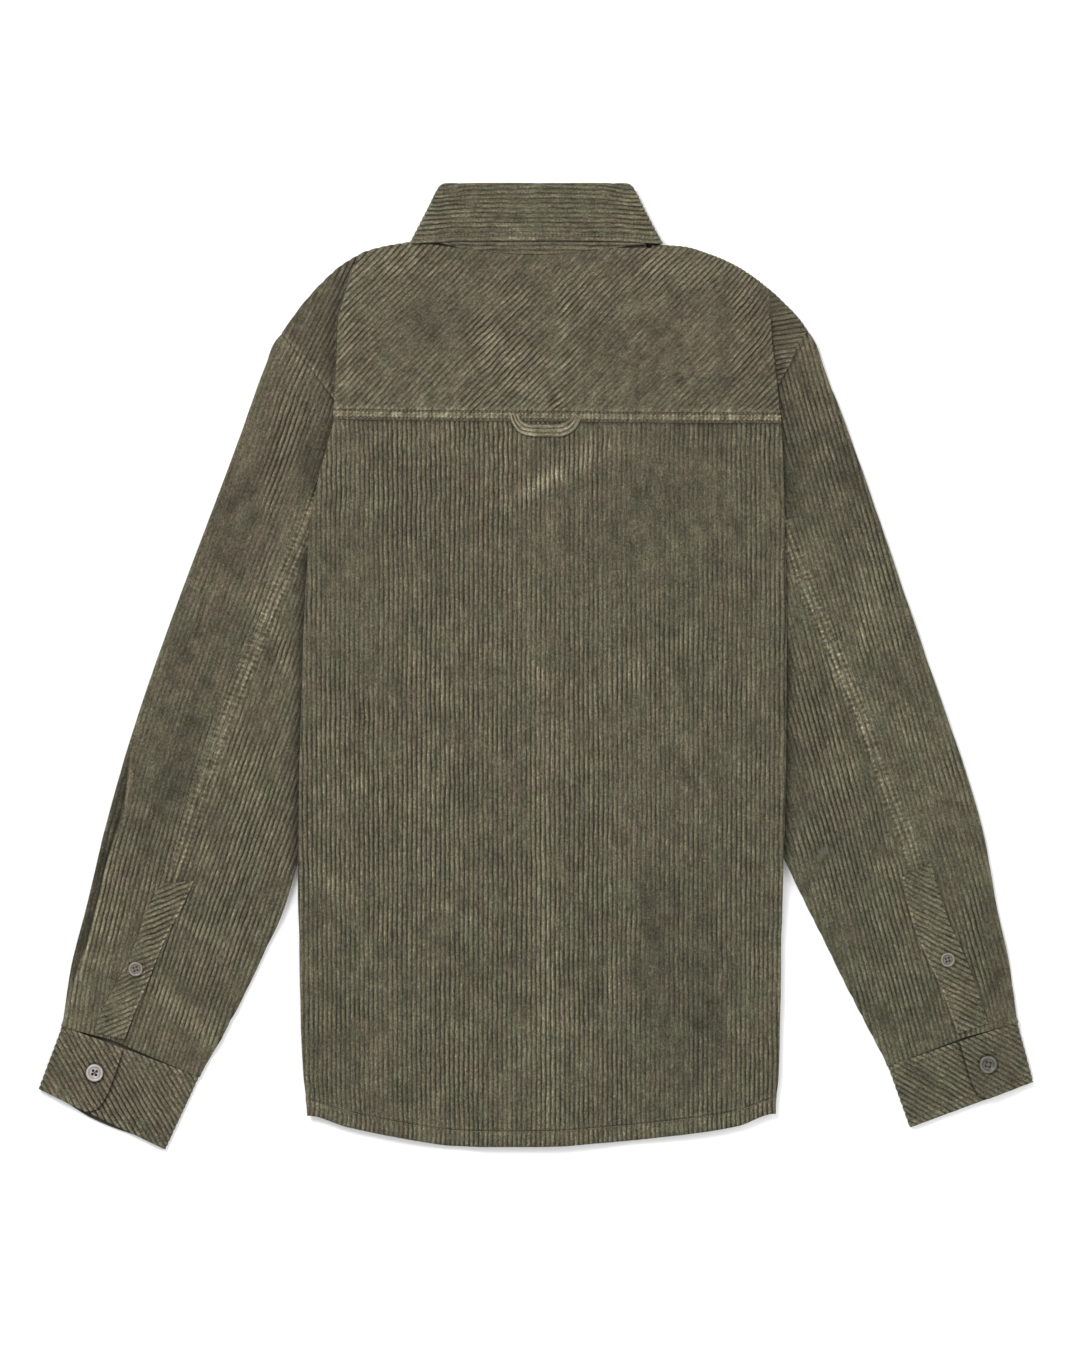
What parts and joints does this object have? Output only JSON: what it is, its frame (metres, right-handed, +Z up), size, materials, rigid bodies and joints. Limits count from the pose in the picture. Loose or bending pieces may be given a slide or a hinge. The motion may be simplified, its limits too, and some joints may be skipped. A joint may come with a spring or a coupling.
{
  "type": "corduroy overshirt laid flat",
  "caption": "Corduroy overshirt laid flat, back up, with yoke, shirt collar, buttoned cuffs, sleeve plackets and a locker loop.",
  "frame": {"origin": "middle of the garment's outline, on the surface it lies on", "axes": "+Z up, +Y from the hem to the collar, +X to the right of somebody looking down on the back"},
  "size_m": [0.8468, 0.8222, 0.0145],
  "materials": {
    "corduroy": "olive-brown wide-wale cotton corduroy, napped, soft sheen on the ribs",
    "pale_button": "pale pinkish-grey four-hole button, satin",
    "olive_button": "olive-grey four-hole button, satin"
  },
  "bodies": {
    "root": {"back_body": "corduroy", "back_yoke": "corduroy", "left_front": "corduroy", "right_front": "corduroy", "collar_leaf": "corduroy", "collar_stand": "corduroy", "left_sleeve_main": "corduroy", "left_sleeve_under": "corduroy", "right_sleeve_main": "corduroy", "right_sleeve_under": "corduroy", "left_sleeve_placket": "corduroy", "right_sleeve_placket": "corduroy", "left_cuff": "corduroy", "right_cuff": "corduroy", "locker_loop": "corduroy", "left_cuff_button": "pale_button", "right_cuff_button": "olive_button", "left_placket_button": "olive_button", "right_placket_button": "olive_button", "collar_button": "olive_button", "front_button_1": "olive_button", "front_button_2": "olive_button", "front_button_3": "olive_button", "front_button_4": "olive_button", "front_button_5": "olive_button", "front_button_6": "olive_button"}
  },
  "joints": []
}
